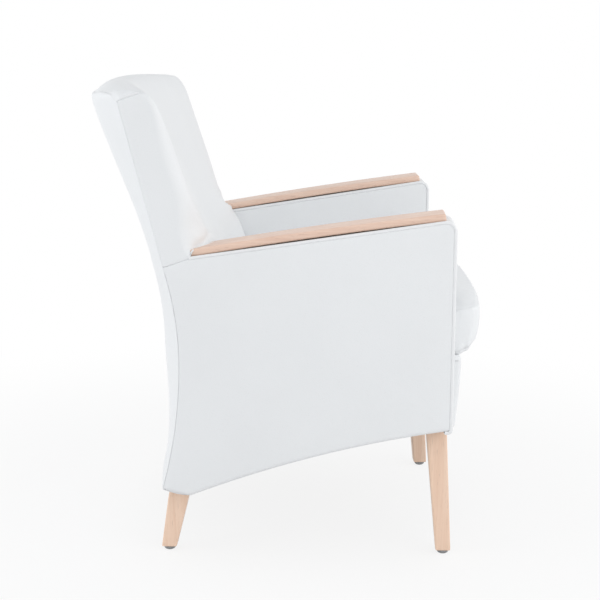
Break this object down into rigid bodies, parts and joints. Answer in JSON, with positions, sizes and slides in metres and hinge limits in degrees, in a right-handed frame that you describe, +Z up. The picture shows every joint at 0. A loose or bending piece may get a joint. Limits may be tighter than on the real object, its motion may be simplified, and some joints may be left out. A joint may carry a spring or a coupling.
{
  "type": "low-back armchair",
  "caption": "Low-back upholstered armchair with sloping padded arms, wooden arm caps and tapered legs, a bowed reclined back and a loose boxed seat cushion.",
  "frame": {"origin": "on the floor, under the centre of the chair's bounding box", "axes": "+Z up, -Y is the front of the chair, +X is the sitter's left"},
  "size_m": [0.6378, 0.737, 0.8745],
  "materials": {
    "leather_white": "smooth, satin",
    "piping_white": "smooth, satin",
    "beech": "clear satin lacquer",
    "plywood": "raw",
    "frame_beech": "raw",
    "foam": "open cell foam",
    "webbing": "woven elastic",
    "deck_cloth": "woven lining",
    "dust_cloth": "non-woven",
    "zinc_steel": "zinc plated",
    "glide_grey": "moulded",
    "zip_white": "moulded"
  },
  "bodies": {
    "chair": {"arm_border_left": "leather_white", "arm_border_right": "leather_white", "arm_cap_left": "beech", "arm_cap_right": "beech", "arm_inner_cover_left": "leather_white", "arm_inner_cover_right": "leather_white", "arm_inner_foam_left": "foam", "arm_inner_foam_right": "foam", "arm_outer_cover_left": "leather_white", "arm_outer_cover_right": "leather_white", "arm_outer_foam_left": "foam", "arm_outer_foam_right": "foam", "arm_rail_left": "frame_beech", "arm_rail_right": "frame_beech", "back_cover": "leather_white", "back_foam": "foam", "back_side_pad_left": "foam", "back_side_pad_right": "foam", "back_top_rail": "frame_beech", "back_webbing": "webbing", "cap_screw_front_left": "zinc_steel", "cap_screw_front_right": "zinc_steel", "cap_screw_rear_left": "zinc_steel", "cap_screw_rear_right": "zinc_steel", "dust_cover": "dust_cloth", "front_border_cover": "leather_white", "front_border_foam": "foam", "front_post_left": "frame_beech", "front_post_right": "frame_beech", "front_rail": "frame_beech", "glide_front_left": "glide_grey", "glide_front_right": "glide_grey", "glide_rear_left": "glide_grey", "glide_rear_right": "glide_grey", "leg_bolt_front_left": "zinc_steel", "leg_bolt_front_right": "zinc_steel", "leg_bolt_rear_left": "zinc_steel", "leg_bolt_rear_right": "zinc_steel", "leg_front_left": "beech", "leg_front_right": "beech", "leg_rear_left": "beech", "leg_rear_right": "beech", "low_rear_rail": "frame_beech", "lumbar_rail": "frame_beech", "outside_back_cover": "leather_white", "piping_inner_left": "piping_white", "piping_inner_right": "piping_white", "piping_outer_left": "piping_white", "piping_outer_right": "piping_white", "rear_seat_rail": "frame_beech", "seat_cleat_left": "frame_beech", "seat_cleat_right": "frame_beech", "seat_deck": "deck_cloth", "seat_webbing": "webbing", "side_frame_left": "plywood", "side_frame_right": "plywood"},
    "seat_cushion": {"seat_cushion_cover": "leather_white", "seat_cushion_foam": "foam", "seat_cushion_zip": "zip_white"}
  },
  "joints": [
    {"name": "cushion_lift", "type": "slide", "parent": "chair", "child": "seat_cushion", "axis": [0, 0, 1], "range_m": [0, 0.3]}
  ]
}
